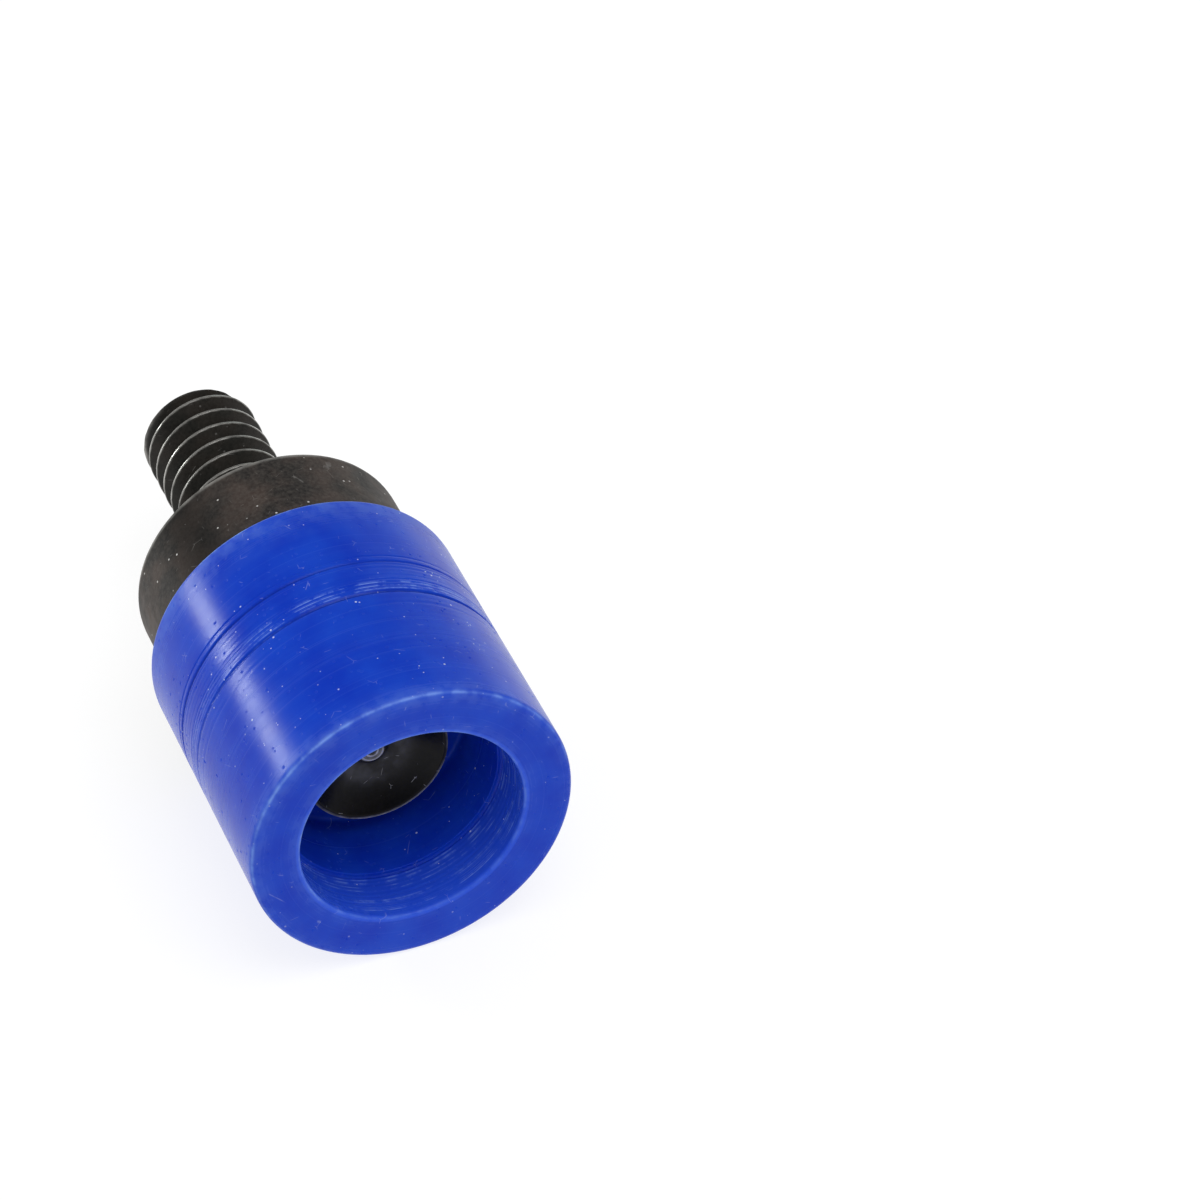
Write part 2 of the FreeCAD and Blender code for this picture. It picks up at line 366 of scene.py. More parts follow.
def makeBody():
    b = body
    foot, tip = bodyFoot.z / mm, bodyTip.z / mm
    below = roundedPath([
        (b["poleRadius"], b["holeTop"], 0),
        (b["holeRadius"], b["holeTop"], 0),
        (b["holeRadius"], b["pocketTop"], 0),
        (b["pocketRadius"], b["pocketTop"], 0),
        (b["pocketRadius"], foot, 0),
        (flangeRadius, foot, b["flangeRounding"]),
        (flangeRadius, b["flangeTop"], b["flangeRounding"]),
        (b["collarRadius"], b["flangeTop"], 0),
        (b["collarRadius"], b["collarTop"], b["collarRounding"]),
        (b["coreRadius"] + b["neckFillet"] + 0.1, b["collarTop"], 0),
    ], b["pathStep"])
    height = np.arange(b["collarTop"], tip, b["rowStep"])
    height = np.append(height, tip)
    shank = threadRadius(height, b["columns"])
    closing = np.array([[2.3], [2.1], [1.2], [b["poleRadius"]]]) * np.ones((1, b["columns"]))
    radius = np.vstack([np.repeat(below[:, :1], b["columns"], axis=1), shank, closing])
    height = np.concatenate([below[:, 1], height, np.full(len(closing), tip)])
    piece = addSurface("body_turned", turned(radius, height, b["columns"]),
                       poles=([0, 0, b["holeTop"]], [0, 0, tip]))
    level = np.repeat(height[:, None], b["columns"], axis=1)
    onShank = radius < b["threadRadius"] + hair
    crest = np.clip(
        (radius - b["threadRadius"]) / b["crestFade"] + 1, 0, 1
    ) * (level > b["neckTop"]) * onShank
    edges = [
        (b["collarRadius"] - 0.05, b["collarTop"] - 0.28, 0.6),
        (b["threadRadius"] - b["tipChamfer"], tip, 1.0),
        (b["threadRadius"] - 0.06, tip - b["tipChamfer"] + 0.06, 0.9),
    ]
    wearAndLight = np.maximum(crest, nearRings(radius, level, edges, b["wearReach"]))
    # painted shade: one side of the collar is painted darker, and it is also made rougher
    angle = np.linspace(0, 2 * np.pi, b["columns"], endpoint=False) - 2 * np.pi
    aside = np.minimum(abs(angle - b["shadeAzimuth"]), abs(angle + 2 * np.pi - b["shadeAzimuth"]))
    addAttribute(
        piece, "paintedShadePatch",
        (radius > b["threadZoneRadius"]) * np.exp(-(aside / b["shadeWidth"]) ** 2)[None]
    )
    # the thread is darker and smoother than the collar, and holds less dust
    addAttribute(piece, "darkerThread", (radius < b["threadZoneRadius"]) * (level > b["collarTop"]) * 1.0)
    addAttribute(piece, "edgeWearAndLight", wearAndLight)
    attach(piece, "die")
    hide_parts("threaded_body")
    return piece


# Punch: dished end with a small bright nub and a centre hole
punch = {
    "columns": 120,
    "seat": 18.2,
    "spigotRadius": 1.5,
    "rimWidth": 0.2,
    "dishDepth": 1.0,
    "nubFoot": 0.95,
    "nubFlat": 0.6,
    "nubHeight": 0.3,
    "holeRadius": 0.25,
    "holeDepth": 0.7,
    "highlightAzimuth": 2.6,
}


def makePunch():
    p = punch
    rim, top = punchFoot.z / mm, punchTip.z / mm
    dishTop = rim + p["dishDepth"]
    nubTop = dishTop - p["nubHeight"]
    # the dish: height above the rim falls off as 1 - (distance out)^1.6 from the nub's foot to the rim
    out = np.linspace(0, 1, 40)
    dishRadius = p["nubFoot"] + out * (punchRadius - p["rimWidth"] - p["nubFoot"])
    dishHeight = rim + p["dishDepth"] * (1 - out ** 1.6)
    # the nub's flat has a ring turned in it
    flat = np.linspace(p["holeRadius"], p["nubFlat"], 14)
    ringCut = 0.04 * groove(flat, 0.45, 0.05)
    bowl = np.column_stack([
        np.concatenate([[0.02, 0.12], flat, [0.7, 0.85], dishRadius]),
        np.concatenate([[nubTop + p["holeDepth"], nubTop + 0.35], nubTop + ringCut,
                        [nubTop + 0.08, dishTop - 0.07], dishHeight]),
    ])
    shank = roundedPath([
        (punchRadius - p["rimWidth"] + 0.02, rim, 0),
        (punchRadius, rim, 0.08),
        (punchRadius, p["seat"], 0),
        (p["spigotRadius"], p["seat"], 0),
        (p["spigotRadius"], top, 0.2),
        (0.3, top, 0),
    ], 0.4)
    profile = np.vstack([bowl, shank])
    radius, height = profile[:, 0], profile[:, 1]
    piece = addSurface("punch_turned", turned(radius, height, p["columns"]),
                       poles=([0, 0, nubTop + p["holeDepth"]], [0, 0, top]))
    bright = 0.25 * ((radius < 0.66) & (height < nubTop + 0.1))
    for ring in (p["nubFlat"], p["holeRadius"] + 0.06):
        bright = np.maximum(bright, groove(radius, ring, 0.06) * (height < nubTop + 0.2))
    # painted reflection: a paler patch round the nub, where the dish would reflect light
    bright = np.maximum(bright, 0.10 * groove(radius, 1.5, 0.6) * (height < dishTop + 0.1))
    rimWearAndHighlight = nearRings(radius, height, [(punchRadius - 0.03, rim + 0.03, 1.0)], 0.06)
    # painted highlight: the rim's pale worn edge is brightest on one side
    angle = np.linspace(0, 2 * np.pi, p["columns"], endpoint=False)[None]
    rimHighlightSide = 0.35 + 0.65 * np.clip(np.cos(angle - p["highlightAzimuth"]), 0, 1)
    addAttribute(piece, "edgeWearAndLight", np.maximum(bright[:, None], rimWearAndHighlight[:, None] * rimHighlightSide))
    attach(piece, "die")
    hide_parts("punch")
    return piece


# Return spring: flat wire wound between the web and the pocket's roof, out of sight
spring = {
    "wireWidth": 0.9,
    "wireHeight": 0.7,
    "turns": 4.5,
    "rowsPerTurn": 60,
    "stroke": 4.5,
}


def makeSpring():
    s = spring
    foot, top = springFoot.z / mm, springTop.z / mm
    middle = springTop.x / mm - s["wireWidth"] / 2
    # the wire's section is a rounded oblong: a superellipse |x/a|^n + |y/b|^n = 1 with n = 6
    turn = np.linspace(0, 2 * np.pi, 24, endpoint=False)
    across = s["wireWidth"] / 2 * np.sign(np.cos(turn)) * abs(np.cos(turn)) ** (1 / 3)
    up = s["wireHeight"] / 2 * np.sign(np.sin(turn)) * abs(np.sin(turn)) ** (1 / 3)
    share = np.linspace(0, 1, int(s["turns"] * s["rowsPerTurn"]))[:, None]
    angle = 2 * np.pi * s["turns"] * share
    level = foot + s["wireHeight"] / 2 + share * (top - foot - s["wireHeight"])
    radius = middle + across[None]
    grid = np.stack([radius * np.cos(angle), radius * np.sin(angle), level + up[None]], axis=-1)
    ends = [grid[0].mean(axis=0), grid[-1].mean(axis=0)]
    piece = addSurface("spring_coil", grid, poles=ends)
    addAttribute(piece, "edgeWearAndLight", np.zeros(1))
    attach(piece, "spring")
    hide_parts("return_spring")
    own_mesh(piece)
    return piece


# Materials

def startMaterial(name):
    material = bpy.data.materials.new(name)
    material.use_nodes = True
    tree = material.node_tree
    tree.nodes.clear()
    place = addNode(tree, "ShaderNodeTexCoord")
    inMm = addNode(tree, "ShaderNodeMapping", links={
        "Vector": place.outputs["Object"], "Scale": (1000, 1000, 1000)})
    # rings round the axis: the pattern is read at (distance from the axis, 0, height)
    apart = addNode(tree, "ShaderNodeSeparateXYZ", links={"Vector": inMm.outputs[0]})
    flat = addNode(tree, "ShaderNodeCombineXYZ", links={"X": apart.outputs["X"], "Y": apart.outputs["Y"]})
    away = addNode(tree, "ShaderNodeVectorMath", {"operation": "LENGTH"}, {0: flat.outputs[0]})
    rings = addNode(tree, "ShaderNodeCombineXYZ", links={
        "X": away.outputs["Value"], "Z": apart.outputs["Z"]})
    return material, tree, inMm.outputs[0], rings.outputs[0]


def dustMask(tree, places, perMm, size, share):
    # bits of dust: cells of a Voronoi pattern, a share of which have a spot of the given size
    cells = addNode(tree, "ShaderNodeTexVoronoi", links={"Vector": places, "Scale": perMm})
    spot = addNode(tree, "ShaderNodeMapRange", links={
        "Value": cells.outputs["Distance"], "From Min": size, "From Max": size * 0.5}).outputs[0]
    pick = addNode(tree, "ShaderNodeSeparateColor", links={"Color": cells.outputs["Color"]})
    chosen = addNode(tree, "ShaderNodeMapRange", links={
        "Value": pick.outputs["Red"], "From Min": 1 - share, "From Max": 1 - share + 0.02}).outputs[0]
    return addNode(tree, "ShaderNodeMath", {"operation": "MULTIPLY"}, {
        0: spot, 1: chosen}).outputs[0]


def scratchMask(tree, places, perMm, width, patch):
    # short straight scratches: the walls of a Voronoi pattern, kept only where a noise is high
    walls = addNode(tree, "ShaderNodeTexVoronoi", {"feature": "DISTANCE_TO_EDGE"}, {
        "Vector": places, "Scale": perMm})
    line = addNode(tree, "ShaderNodeMapRange", links={
        "Value": walls.outputs["Distance"], "From Min": width, "From Max": 0.0}).outputs[0]
    where = addNode(tree, "ShaderNodeTexNoise", links={
        "Vector": places, "Scale": perMm * 2.6, "Detail": 0.0})
    kept = addNode(tree, "ShaderNodeMapRange", links={
        "Value": where.outputs["Fac"], "From Min": patch, "From Max": patch + 0.06}).outputs[0]
    return addNode(tree, "ShaderNodeMath", {"operation": "MULTIPLY"}, {
        0: line, 1: kept}).outputs[0]


def blueNylon():
    # turned nylon rod, dyed through: satin, a little light scatters under its skin and pales the edges
    look = {
        "deep": "#0D38BE", "pale": "#1545C8", "edge": "#86ACF6", "line": "#86A8F4",
        "bottom": "#0A2690", "recess": "#2F5CE6", "dust": "#DCE4F8",
        "roughness": (0.19, 0.29), "ringMm": 0.2, "ringDepthMm": 0.0011, "cloudPerMm": 0.4,
        "shine": 0.12, "recessShare": 0.55, "ringShare": 0.025, "glintShare": 0.8,
        "bottomShare": 0.7, "edgeShare": 0.9, "dustStrength": 0.85, "scratch": 0.18,
        "wearRoughens": 0.7, "pitRoughens": 0.6, "pitDepth": 8.0,
    }
    material, tree, places, rings = startMaterial("turned blue nylon")
    cloud = addNode(tree, "ShaderNodeTexNoise", links={
        "Vector": places, "Scale": look["cloudPerMm"], "Detail": 5.0})
    colour = addNode(tree, "ShaderNodeMix", {"data_type": "RGBA"}, {
        0: addNode(tree, "ShaderNodeMapRange", links={
            "Value": cloud.outputs["Fac"], "From Min": 0.35, "From Max": 0.65}).outputs[0],
        6: linear(look["deep"]),
        7: linear(look["pale"])}).outputs[2]
    # painted light: the roughly turned recess is painted paler than the smooth bore behind it
    inRecess = addNode(tree, "ShaderNodeAttribute", {"attribute_name": "recess"})
    colour = addNode(tree, "ShaderNodeMix", {"data_type": "RGBA"}, {
        0: addNode(tree, "ShaderNodeMath", {"operation": "MULTIPLY"}, {
            0: inRecess.outputs["Fac"], 1: look["recessShare"]}).outputs[0],
        6: colour,
        7: linear(look["recess"])}).outputs[2]
    # fine rings everywhere, and painted highlights: bright broken lines on the turned marks
    fine = addNode(tree, "ShaderNodeTexNoise", links={
        "Vector": rings, "Scale": 1 / look["ringMm"], "Detail": 2.0, "Roughness": 0.6})
    colour = addNode(tree, "ShaderNodeMix", {"data_type": "RGBA"}, {
        0: addNode(tree, "ShaderNodeMapRange", links={
            "Value": fine.outputs["Fac"],
            "From Min": 0.5,
            "From Max": 0.75,
            "To Min": 0.0,
            "To Max": look["ringShare"]}).outputs[0],
        6: colour,
        7: linear(look["edge"])}).outputs[2]
    # this mask marks where the painted highlights of the turned marks go
    glintMask = addNode(tree, "ShaderNodeAttribute", {"attribute_name": "toolMarks"})
    bands = addNode(tree, "ShaderNodeTexNoise", links={"Vector": rings, "Scale": 8.0, "Detail": 1.0})
    breaks = addNode(tree, "ShaderNodeTexNoise", links={
        "Vector": places, "Scale": 1.1, "Detail": 5.0, "Roughness": 0.65})
    lines = addNode(tree, "ShaderNodeMath", {"operation": "MULTIPLY"}, {
        0: addNode(tree, "ShaderNodeMapRange", links={
            "Value": bands.outputs["Fac"], "From Min": 0.52, "From Max": 0.60}).outputs[0],
        1: addNode(tree, "ShaderNodeMapRange", links={
            "Value": breaks.outputs["Fac"], "From Min": 0.44, "From Max": 0.60}).outputs[0]}).outputs[0]
    lines = addNode(tree, "ShaderNodeMath", {"operation": "MULTIPLY"}, {
        0: lines, 1: glintMask.outputs["Fac"]}).outputs[0]
    outside = addNode(tree, "ShaderNodeAttribute", {"attribute_name": "glintLines"})
    broken = addNode(tree, "ShaderNodeMath", {"operation": "MULTIPLY"}, {
        0: outside.outputs["Fac"],
        1: addNode(tree, "ShaderNodeMapRange", links={
            "Value": breaks.outputs["Fac"], "From Min": 0.42, "From Max": 0.56}).outputs[0]}).outputs[0]
    lines = addNode(tree, "ShaderNodeMath", {"operation": "MAXIMUM"}, {
        0: addNode(tree, "ShaderNodeMath", {"operation": "MULTIPLY"}, {
            0: lines, 1: 0.5}).outputs[0],
        1: broken}).outputs[0]
    # painted highlights: the bright broken lines take the pale line colour
    colour = addNode(tree, "ShaderNodeMix", {"data_type": "RGBA"}, {
        0: addNode(tree, "ShaderNodeMath", {"operation": "MULTIPLY"}, {
            0: lines, 1: look["glintShare"]}).outputs[0],
        6: colour,
        7: linear(look["line"])}).outputs[2]
    # painted shade: the bottoms of the turned lines are painted darker blue
    bottom = addNode(tree, "ShaderNodeAttribute", {"attribute_name": "paintedLineShade"})
    colour = addNode(tree, "ShaderNodeMix", {"data_type": "RGBA"}, {
        0: addNode(tree, "ShaderNodeMath", {"operation": "MULTIPLY"}, {
            0: bottom.outputs["Fac"], 1: look["bottomShare"]}).outputs[0],
        6: colour,
        7: linear(look["bottom"])}).outputs[2]
    # worn edges, with nicks; the same pale edges also carry painted highlights and a painted glow at the
    # rear
    wornAndLit = addNode(tree, "ShaderNodeAttribute", {"attribute_name": "edgeWearAndLight"})
    chips = addNode(tree, "ShaderNodeTexNoise", links={"Vector": places, "Scale": 1.3, "Detail": 4.0})
    nicks = addNode(tree, "ShaderNodeMapRange", links={
        "Value": chips.outputs["Fac"],
        "From Min": 0.40,
        "From Max": 0.60,
        "To Min": 0.35,
        "To Max": 1.0}).outputs[0]
    edge = addNode(tree, "ShaderNodeMath", {"operation": "MULTIPLY"}, {
        0: addNode(tree, "ShaderNodeMath", {"operation": "MULTIPLY"}, {
            0: wornAndLit.outputs["Fac"], 1: nicks}).outputs[0],
        1: look["edgeShare"]}).outputs[0]
    colour = addNode(tree, "ShaderNodeMix", {"data_type": "RGBA"}, {
        0: edge, 6: colour, 7: linear(look["edge"])}).outputs[2]
    dust = addNode(tree, "ShaderNodeMath", {"operation": "MAXIMUM"}, {
        0: dustMask(tree, places, 1.3, 0.09, 0.35), 1: dustMask(tree, places, 2.6, 0.11, 0.2)}).outputs[0]
    level = addNode(tree, "ShaderNodeSeparateXYZ", links={"Vector": places})
    # cloth wipes the mouth
    dust = addNode(tree, "ShaderNodeMath", {"operation": "MULTIPLY"}, {
        0: dust,
        1: addNode(tree, "ShaderNodeMapRange", links={
            "Value": level.outputs["Z"],
            "From Min": 0.1,
            "From Max": 0.4,
            "To Min": 0.35,
            "To Max": 1.0}).outputs[0]}).outputs[0]
    scratch = scratchMask(tree, places, 0.6, 0.012, 0.68)
    marks = addNode(tree, "ShaderNodeMath", {"operation": "MAXIMUM"}, {
        0: addNode(tree, "ShaderNodeMath", {"operation": "MULTIPLY"}, {
            0: dust, 1: look["dustStrength"]}).outputs[0],
        1: addNode(tree, "ShaderNodeMath", {"operation": "MULTIPLY"}, {
            0: scratch, 1: look["scratch"]}).outputs[0]}).outputs[0]
    colour = addNode(tree, "ShaderNodeMix", {"data_type": "RGBA"}, {
        0: marks, 6: colour, 7: linear(look["dust"])}).outputs[2]
    low, high = look["roughness"]
    rough = addNode(tree, "ShaderNodeMapRange", links={
        "Value": fine.outputs["Fac"],
        "From Min": 0.3,
        "From Max": 0.7,
        "To Min": low,
        "To Max": high}).outputs[0]
    # worn nylon is rougher
    rough = addNode(tree, "ShaderNodeMath", {"operation": "ADD"}, {
        0: rough,
        1: addNode(tree, "ShaderNodeMath", {"operation": "MULTIPLY"}, {
            0: edge, 1: look["wearRoughens"]}).outputs[0]}).outputs[0]
    # small dull pits break the shine; their depth is counted in depths of the fine rings
    pits = dustMask(tree, places, 2.4, 0.24, 0.4)
    rough = addNode(tree, "ShaderNodeMath", {"operation": "ADD"}, {
        0: rough,
        1: addNode(tree, "ShaderNodeMath", {"operation": "MULTIPLY"}, {
            0: pits, 1: look["pitRoughens"]}).outputs[0]}).outputs[0]
    relief = addNode(tree, "ShaderNodeMath", {"operation": "SUBTRACT"}, {
        0: fine.outputs["Fac"],
        1: addNode(tree, "ShaderNodeMath", {"operation": "MULTIPLY"}, {
            0: pits, 1: look["pitDepth"]}).outputs[0]}).outputs[0]
    bump = addNode(tree, "ShaderNodeBump", links={
        "Strength": 1.0, "Distance": look["ringDepthMm"] * mm, "Height": relief})
    shader = addNode(tree, "ShaderNodeBsdfPrincipled", links={
        "Base Color": colour, "Roughness": rough, "Normal": bump.outputs["Normal"], "IOR": 1.53,
        "Specular IOR Level": look["shine"],
        "Subsurface Weight": 0.2, "Subsurface Radius": (0.2, 0.4, 1.0), "Subsurface Scale": 0.001})
    addNode(tree, "ShaderNodeOutputMaterial", links={"Surface": shader.outputs[0]})
    return material


# Marks on the steel: the thread darker and smoother, painted shade on one side of the collar, and dust
film = {"threadTone": "#20221F", "threadToneShare": 0.7, "threadSmooths": 0.24, "patch": "#161514", "shadeShare": 0.7,
        "patchRoughens": 0.40, "dust": "#E8E6E2", "dustStrength": 0.8}


def darkSteel(name, look):
    # steel blackened in a hot oxide bath: dark, thin film, slightly brown, pale steel where it is rubbed off
    material, tree, places, rings = startMaterial(name)
    cloud = addNode(tree, "ShaderNodeTexNoise", links={
        "Vector": places, "Scale": look["cloudPerMm"], "Detail": 5.0})
    colour = addNode(tree, "ShaderNodeMix", {"data_type": "RGBA"}, {
        0: addNode(tree, "ShaderNodeMapRange", links={
            "Value": cloud.outputs["Fac"], "From Min": 0.40, "From Max": 0.60}).outputs[0],
        6: linear(look["dark"]),
        7: linear(look["brown"])}).outputs[2]
    speckle = addNode(tree, "ShaderNodeTexNoise", links={
        "Vector": places, "Scale": 5.0, "Detail": 3.0, "Roughness": 0.7})
    colour = addNode(tree, "ShaderNodeMix", {"data_type": "RGBA"}, {
        0: addNode(tree, "ShaderNodeMapRange", links={
            "Value": speckle.outputs["Fac"],
            "From Min": 0.35,
            "From Max": 0.7,
            "To Min": 0.0,
            "To Max": look["speckle"]}).outputs[0],
        6: colour,
        7: linear(look["light"])}).outputs[2]
    darkerThread = addNode(tree, "ShaderNodeAttribute", {"attribute_name": "darkerThread"})
    colour = addNode(tree, "ShaderNodeMix", {"data_type": "RGBA"}, {
        0: addNode(tree, "ShaderNodeMath", {"operation": "MULTIPLY"}, {
            0: darkerThread.outputs["Fac"], 1: film["threadToneShare"]}).outputs[0],
        6: colour,
        7: linear(film["threadTone"])}).outputs[2]
    # painted shade: one side of the collar is painted darker
    patch = addNode(tree, "ShaderNodeAttribute", {"attribute_name": "paintedShadePatch"})
    colour = addNode(tree, "ShaderNodeMix", {"data_type": "RGBA"}, {
        0: addNode(tree, "ShaderNodeMath", {"operation": "MULTIPLY"}, {
            0: patch.outputs["Fac"], 1: film["shadeShare"]}).outputs[0],
        6: colour,
        7: linear(film["patch"])}).outputs[2]
    wornAndLit = addNode(tree, "ShaderNodeAttribute", {"attribute_name": "edgeWearAndLight"})
    grain = addNode(tree, "ShaderNodeTexNoise", links={"Vector": places, "Scale": 2.5, "Detail": 4.0})
    stretches = addNode(tree, "ShaderNodeTexNoise", links={"Vector": places, "Scale": 1.0, "Detail": 2.0})
    # pale bare steel where the surface is worn; on the punch this also holds painted highlights and a
    # painted reflection
    rubbedAndLit = addNode(tree, "ShaderNodeMath", {"operation": "MULTIPLY"}, {
        0: wornAndLit.outputs["Fac"],
        1: addNode(tree, "ShaderNodeMapRange", links={
            "Value": stretches.outputs["Fac"],
            "From Min": 0.35,
            "From Max": 0.58,
            "To Min": 0.3,
            "To Max": 1.0}).outputs[0]}).outputs[0]
    colour = addNode(tree, "ShaderNodeMix", {"data_type": "RGBA"}, {
        0: addNode(tree, "ShaderNodeMath", {"operation": "MULTIPLY"}, {
            0: rubbedAndLit, 1: look["wearAndLight"]}).outputs[0],
        6: colour,
        7: linear(look["bare"])}).outputs[2]
    dust = dustMask(tree, places, look["dustPerMm"], look["dustSize"], look["dustShare"])
    dust = addNode(tree, "ShaderNodeMath", {"operation": "MULTIPLY"}, {
        0: dust,
        1: addNode(tree, "ShaderNodeMapRange", links={
            "Value": darkerThread.outputs["Fac"],
            "From Min": 0.0,
            "From Max": 1.0,
            "To Min": 1.0,
            "To Max": 0.15}).outputs[0]}).outputs[0]
    scratch = addNode(tree, "ShaderNodeMath", {"operation": "MULTIPLY"}, {
        0: scratchMask(tree, places, 0.8, 0.014, 0.66), 1: look["scratch"]}).outputs[0]
    colour = addNode(tree, "ShaderNodeMix", {"data_type": "RGBA"}, {
        0: addNode(tree, "ShaderNodeMath", {"operation": "MAXIMUM"}, {
            0: addNode(tree, "ShaderNodeMath", {"operation": "MULTIPLY"}, {
                0: dust, 1: film["dustStrength"]}).outputs[0],
            1: scratch}).outputs[0],
        6: colour,
        7: linear(film["dust"])}).outputs[2]
    fine = addNode(tree, "ShaderNodeTexNoise", links={
        "Vector": rings, "Scale": 1 / look["ringMm"], "Detail": 2.0, "Roughness": 0.6})
    low, high = look["roughness"]
    rough = addNode(tree, "ShaderNodeMapRange", links={
        "Value": grain.outputs["Fac"],
        "From Min": 0.3,
        "From Max": 0.7,
        "To Min": low,
        "To Max": high}).outputs[0]
    rough = addNode(tree, "ShaderNodeMath", {"operation": "SUBTRACT"}, {
        0: rough,
        1: addNode(tree, "ShaderNodeMath", {"operation": "MULTIPLY"}, {
            0: darkerThread.outputs["Fac"], 1: film["threadSmooths"]}).outputs[0]}).outputs[0]
    rough = addNode(tree, "ShaderNodeMath", {"operation": "ADD"}, {
        0: rough,
        1: addNode(tree, "ShaderNodeMath", {"operation": "MULTIPLY"}, {
            0: patch.outputs["Fac"], 1: film["patchRoughens"]}).outputs[0]}).outputs[0]
    height = addNode(tree, "ShaderNodeMath", {"operation": "ADD"}, {
        0: fine.outputs["Fac"],
        1: addNode(tree, "ShaderNodeMath", {"operation": "MULTIPLY"}, {
            0: grain.outputs["Fac"], 1: 0.8}).outputs[0]}).outputs[0]
    metal = addNode(tree, "ShaderNodeMath", {"operation": "MAXIMUM"}, {
        0: addNode(tree, "ShaderNodeMath", {"operation": "MULTIPLY"}, {
            0: rubbedAndLit, 1: look["bareMetal"]}).outputs[0],
        1: look["metallic"]}).outputs[0]
    bump = addNode(tree, "ShaderNodeBump", links={
        "Strength": 1.0, "Distance": look["bumpMm"] * mm, "Height": height})
    shader = addNode(tree, "ShaderNodeBsdfPrincipled", links={
        "Base Color": colour, "Roughness": rough, "Normal": bump.outputs["Normal"],
        "Metallic": metal, "Specular IOR Level": look["shine"]})
    addNode(tree, "ShaderNodeOutputMaterial", links={"Surface": shader.outputs[0]})
    return material


oxideSteel = {
    "dark": "#282524", "brown": "#453A35", "bare": "#C9C7C2", "wearAndLight": 0.9, "metallic": 0.04,
    "shine": 0.18, "bareMetal": 0.85, "light": "#6E6862", "speckle": 0.32, "scratch": 0.12,
    "roughness": (0.48, 0.60), "cloudPerMm": 0.5, "ringMm": 0.12, "bumpMm": 0.006,
    "dustPerMm": 1.5, "dustSize": 0.11, "dustShare": 0.4,
}
punchSteel = {
    "dark": "#0B0B0E", "brown": "#141211", "bare": "#E4E4E8", "wearAndLight": 1.0, "metallic": 0.0,
    "shine": 0.12, "bareMetal": 0.4, "light": "#2C2C2E", "speckle": 0.15, "scratch": 0.45,
    "roughness": (0.14, 0.26), "cloudPerMm": 0.8, "ringMm": 0.1, "bumpMm": 0.003,
    "dustPerMm": 1.6, "dustSize": 0.06, "dustShare": 0.3,
}
wireSteel = {
    "dark": "#6E7075", "brown": "#7C7C7C", "bare": "#C8C8C8", "wearAndLight": 0.5, "metallic": 1.0,
    "shine": 0.5, "bareMetal": 1.0, "light": "#9A9A9A", "speckle": 0.2, "scratch": 0.0,
    "roughness": (0.3, 0.45), "cloudPerMm": 0.8, "ringMm": 0.1, "bumpMm": 0.003,
    "dustPerMm": 1.6, "dustSize": 0.04, "dustShare": 0.05,
}

sleevePiece = makeSleeve()
bodyPiece = makeBody()
punchPiece = makePunch()
springPiece = makeSpring()
print("pieces made:", [len(p.data.polygons) for p in (sleevePiece, bodyPiece, punchPiece, springPiece)])
sleevePiece.data.materials.append(blueNylon())
bodyPiece.data.materials.append(darkSteel("black oxide steel", oxideSteel))
punchPiece.data.materials.append(darkSteel("polished black steel", punchSteel))
springPiece.data.materials.append(darkSteel("spring wire", wireSteel))
print("materials made")

# Camera: looks up into the mouth. Its place was worked out from the circles in the photograph.
camera = {
    "mouthInView": (-1.0856, 1.3222, 26.2157),  # right, down and away, in sleeve radii
    "axisInView": (-0.3781, -0.5989, 0.7059),   # the way from the mouth to the thread
    "focalPixels": 4500,
    "imagePixels": 1200,
    "sensorMm": 36,
}
across = Vector((1, 1, 0)).normalized()   # lies in the backdrop, square to the die's axis
outward = Vector((1, -1, 0)).normalized()  # points from the backdrop to the die


def makeCamera():
    c = camera
    away = Vector(c["axisInView"]).normalized()
    # the backdrop's normal has no sideways part in the view, so it is found from the axis alone
    normal = Vector((0, -away.z, away.y)).normalized()
    sideways = away.cross(normal)
    inView = Matrix((sideways, normal, away)).transposed()
    inFrame = Matrix((across, outward, Vector((0, 0, 1)))).transposed()
    turn = inFrame @ inView.transposed()
    place = -(turn @ Vector(c["mouthInView"])) * sleeveRadius * mm
    right, down, forward = (turn @ Vector(v) for v in ((1, 0, 0), (0, 1, 0), (0, 0, 1)))
    data = bpy.data.cameras.new("camera")
    data.sensor_width = c["sensorMm"]
    data.lens = c["focalPixels"] / c["imagePixels"] * c["sensorMm"]
    data.clip_start = 0.01
    data.clip_end = 20
    item = bpy.data.objects.new("camera", data)
    item.matrix_world = Matrix.Translation(place) @ Matrix((right, -down, -forward)).transposed().to_4x4()
    bpy.context.scene.collection.objects.link(item)
    bpy.context.scene.camera = item


# Stage: a floor that only shows from above, and a backdrop that touches the sleeve's side and
# only shows from the front. Each is seen through from behind, and neither holds light back.
stage = {"size": 6.0, "floorDrop": 0.0002, "backdropGap": 0.00002, "glow": 0.80, "paper": 0.27}


def makeStage(name, normal, place):
    half = stage["size"] / 2
    first = normal.orthogonal().normalized()
    second = normal.cross(first)
    corners = [place + (a * first + b * second) * half for a, b in ((-1, -1), (1, -1), (1, 1), (-1, 1))]
    mesh = bpy.data.meshes.new(name)
    mesh.from_pydata([list(p) for p in corners], [], [[0, 1, 2, 3]])
    item = bpy.data.objects.new(name, mesh)
    bpy.context.scene.collection.objects.link(item)
    mesh.materials.append(paper)
    item.visible_shadow = False
    item.visible_diffuse = False
    item.visible_glossy = False
    item.visible_transmission = False


